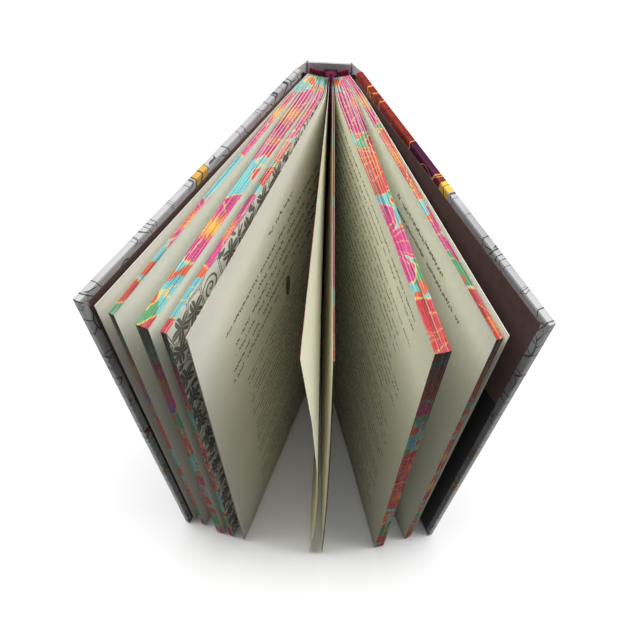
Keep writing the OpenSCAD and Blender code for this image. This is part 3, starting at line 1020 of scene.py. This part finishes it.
def bandMaterial(style):
    material, shader = newMaterial("bandThread", 0.45)
    along, turn, blank = attributeSpot()
    # darker in the grooves between the ribs: painted shade; the twist adds the thread's own stripes
    grooveShade = cosine(scaled(along, 6.2832 * style["ribs"]))
    twist = sine(scaled(turn, 40.0, scaled(along, 25.1 * style["ribs"])))
    tone = scaled(twist, 0.12, scaled(grooveShade, 0.4))
    colour = mixColour(smooth(tone, -0.4, 0.45), style["dark"], style["thread"])
    paint(shader, colour, twist, 0.4, 0.0001)
    return material


bandThread = bandMaterial(bandStyle)


def makeBand(word, level, up, bead, style):
    back, front = archRadius - fan["backThick"] - style["skirtThick"], archRadius
    middle, half = (back + front) / 2, (front - back) / 2
    foot, inner = style["foot"], back + style["skirtThick"]
    profile = [(back, -style["skirt"])]
    for k in range(style["steps"] + 1):
        a = math.pi * (1 - k / style["steps"])
        profile.append((middle + half * math.cos(a), bead * (foot + (1 - foot) * math.sin(a))))
    lastBead = len(profile) - 1
    profile += [(front, style["seat"]), (inner, style["seat"]), (inner, -style["skirt"])]
    columns = style["ribs"] * style["ribSteps"]
    pile = MeshPile()
    rows, spots = [], []
    for c in range(columns + 1):
        share = c / columns
        angle = fan["arch"] * (2 * share - 1) * style["reach"]
        dent = style["depth"] * (0.5 - 0.5 * math.cos(2 * math.pi * share * style["ribs"]))
        row = []
        for j, (r, h) in enumerate(profile):
            if 1 <= j <= lastBead:
                r, h = middle + (r - middle) * (1 - dent / half), h * (1 - dent / bead)
            row.append((*onArch(angle, r), level + up * h))
        rows.append(row + row[:1])
        spots.append([(share, j / len(profile), 0) for j in range(len(row) + 1)])
    pile.grid(rows, 0, spots, flip=up > 0)
    item = pile.build(word + "Band", [bandThread], 60, True)
    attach(item, "book_block")
    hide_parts(word + "band")


for word, level, up in (("head", headZ, 1), ("tail", fan["tailGap"], -1)):
    makeBand(word, level, up, bandStyle[word], bandStyle)

# ribbon marker: over the head band, folded along its middle and let down into the gutter
ribbonStyle = dict(
    wide=5.5, thick=0.26, room=0.3, crease=0.1, curl=0.75, end=46, into=5.0, parts=5, wingParts=6,
    # shade and deep are colours of painted shade, over the band and in the heart of the fold
    colour=rgb(124, 20, 72), dark=rgb(70, 8, 38), deep=rgb(12, 1, 6), shade=rgb(44, 6, 22),
    dome=1.5, curlHighlightFrom=6.9, foldShadeFrom=7.9, selvage=0.86, gap=0.06,
)


def ribbonMaterial(style):
    material, shader = newMaterial("ribbonSatin", 0.6, 0.2)
    along, wide, station = attributeSpot()
    weave = sine(scaled(along, 14.0))
    tone = scaled(above(wide, style["selvage"]), 0.3, scaled(weave, 0.3))
    colour = mixColour(smooth(tone, -0.5, 0.4), style["dark"], style["colour"])
    # painted shade over the band, a painted highlight round the curl in front of it, painted shade in the
    # heart of the fold
    rounded = scaled(product(wide, wide), -style["dome"], station)
    lit = smooth(rounded, style["curlHighlightFrom"], style["curlHighlightFrom"] + 0.4)
    colour = mixColour(lit, style["shade"], colour)
    # painted shade along the middle of the fold
    crease = inverse(smooth(wide, 0.04, 0.36))
    crease = both(crease, smooth(station, style["foldShadeFrom"], style["foldShadeFrom"] + 0.5))
    colour = mixColour(scaled(crease, 0.9), colour, style["deep"])
    paint(shader, colour, weave, 0.25, 0.0001)
    return material


def curveThrough(stops, parts):
    dots = []
    for i in range(len(stops) - 1):
        a, b, c, d = (np.array(stops[min(max(i + o, 0), len(stops) - 1)], float) for o in (-1, 0, 1, 2))
        for k in range(parts):
            t = k / parts
            bend, twist = 2 * a - 5 * b + 4 * c - d, 3 * b - a - 3 * c + d
            dots.append(0.5 * (2 * b + (c - a) * t + bend * t * t + twist * t ** 3))
    return dots + [np.array(stops[-1], float)]


def ribbonRing(style, fold):
    # half section from the crease out to the edge, then back along the other face
    wing, parts = (style["wide"] - style["crease"]) / 2, style["wingParts"]
    lean = style["curl"] * math.sin(math.radians(2 * fold))
    spots, turns, place = [], [], np.array((style["crease"] / 2, 0.0))
    for i in range(parts + 1):
        turn = math.radians(fold * (1 + lean * (2 * i / parts - 1)))
        spots.append(place.copy())
        turns.append(turn)
        place = place + wing / parts * np.array((math.cos(turn), math.sin(turn)))
    back = [p + style["thick"] * np.array((math.sin(t), -math.cos(t))) for p, t in zip(spots, turns)]
    back[0] = np.array((style["crease"] / 2 + style["thick"] * math.tan(turns[0] / 2), -style["thick"]))
    near, far = ([(*p, i / parts) for i, p in enumerate(face)] for face in (spots, back))
    half = near + far[::-1]
    ring = half + [(-x, y, w) for x, y, w in half[::-1]]
    return ring + ring[:1]


def makeRibbon(style):
    k = fan["slotAfter"]
    slot = (rootTurn[k] + rootTurn[k + 1]) / 2
    room, into, bead = style["room"], style["into"], bandStyle["head"]
    hollowRadius = archRadius - fan["backThick"] - fan["liningThick"]
    sag = hollowRadius - math.sqrt(hollowRadius ** 2 - style["wide"] ** 2 / 4)
    behind = hollowRadius - archRadius - sag - room - style["gap"]
    over = headZ + bead + 2 * room
    # how far out from the arch, how high and how far folded
    shut = 89.0
    stops = [
        (behind, headZ - 21, 0), (behind, headZ - 7, 0), (behind, headZ, 0), (behind, headZ + bead / 2, 0),
        (behind + room, over - 2 * room, 0), (behind + 3 * room, over, 0),
        (-fan["backThick"] / 2, over + room / 2, 0), (room, over, 12), (into / 4, over - room, 34),
        (into * 0.4, over - bead / 2, 62), (into / 2, headZ + bead / 2, 80), (into * 0.58, headZ + room, 88),
        (into * 0.66, headZ - 1.4, shut), (into * 0.8, headZ - 5.5, shut), (into, headZ - 16.5, shut),
        (into, (style["end"] + headZ) / 2, shut), (into, style["end"], shut),
    ]
    dots = curveThrough(stops, style["parts"])
    line = [np.array((*onArch(slot, archRadius + d[0]), d[1])) for d in dots]
    wide = np.append(across(slot), 0)
    pile = MeshPile()
    rows, spots, travel = [], [], 0.0
    for i, d in enumerate(dots):
        run = line[min(i + 1, len(dots) - 1)] - line[max(i - 1, 0)]
        travel += np.linalg.norm(line[i] - line[max(i - 1, 0)])
        out = np.cross(run / np.linalg.norm(run), wide)
        ring = ribbonRing(style, min(shut, max(0.0, d[2])))
        rows.append([tuple(line[i] + a * wide + b * out) for a, b, w in ring])
        spots.append([(travel, w, i / style["parts"]) for a, b, w in ring])
    pile.grid(rows, 0, spots)
    item = pile.build("ribbonMarker", [ribbonMaterial(style)], 50, True)
    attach(item, "book_block")
    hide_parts("ribbon_marker")


makeRibbon(ribbonStyle)

# cloth lining on the back of the block
liningStyle = dict(cloth=rgb(222, 216, 200), thread=rgb(190, 184, 166), count=9000.0)


def liningMaterial(style):
    material, shader = newMaterial("liningCloth", 0.85)
    x, y, z = splitXyz(objectSpot())
    warp, weft = (sine(scaled(axis, style["count"])) for axis in (x, z))
    weave = product(warp, weft)
    colour = mixColour(smooth(weave, -0.6, 0.6), style["thread"], style["cloth"])
    paint(shader, colour, weave, 0.3, 0.0001)
    return material


dress("spine_lining", liningMaterial(liningStyle))
print("bands, ribbon and lining done")

# pale floor and soft studio light
studio = dict(
    floor=(0.98, 0.98, 0.98, 1), bounce=(0.15, 0.15, 0.15, 1), reach=6.0, drop=0.0002, sky=0.12,
    energy=44.0, size=(3.4, 0.8), spot=(0.32, 0.06, 1.3), aim=(0.32, 0, 0),
)


def makeStudio(style):
    mesh = bpy.data.meshes.new("paleFloor")
    reach = style["reach"]
    corners = [(-reach, -reach, 0), (reach, -reach, 0), (reach, reach, 0), (-reach, reach, 0)]
    mesh.from_pydata(corners, [], [(0, 1, 2, 3)])
    floor = addObject("paleFloor", mesh)
    floor.location.z = -style["drop"]
    material, shader = newMaterial("paleFloor", 1.0)
    bench["tree"].nodes.remove(shader)
    seen = put("ShaderNodeBsdfDiffuse", Color=style["floor"])
    unseen = put("ShaderNodeBsdfDiffuse", Color=style["bounce"])
    path = put("ShaderNodeLightPath")
    rays = [path.outputs[name] for name in ("Is Camera Ray", "Is Glossy Ray", "Is Transmission Ray")]
    mixShaders(anyOf(*rays), unseen, seen)
    mesh.materials.append(material)
    data = bpy.data.lights.new("softPanel", "AREA")
    data.energy = style["energy"]
    data.shape = "RECTANGLE"
    data.size, data.size_y = style["size"]
    lamp = addObject("softPanel", data)
    lamp.location = style["spot"]
    toward = Vector(style["aim"]) - Vector(style["spot"])
    lamp.rotation_euler = toward.to_track_quat("-Z", "Y").to_euler()
    world = bpy.data.worlds.new("studioSky")
    world.use_nodes = True
    sky = world.node_tree.nodes["Background"]
    wire(sky, "Color", (1, 1, 1, 1))
    wire(sky, "Strength", style["sky"])
    scene.world = world
    scene.view_settings.view_transform = "Standard"


makeStudio(studio)
print("studio lit")
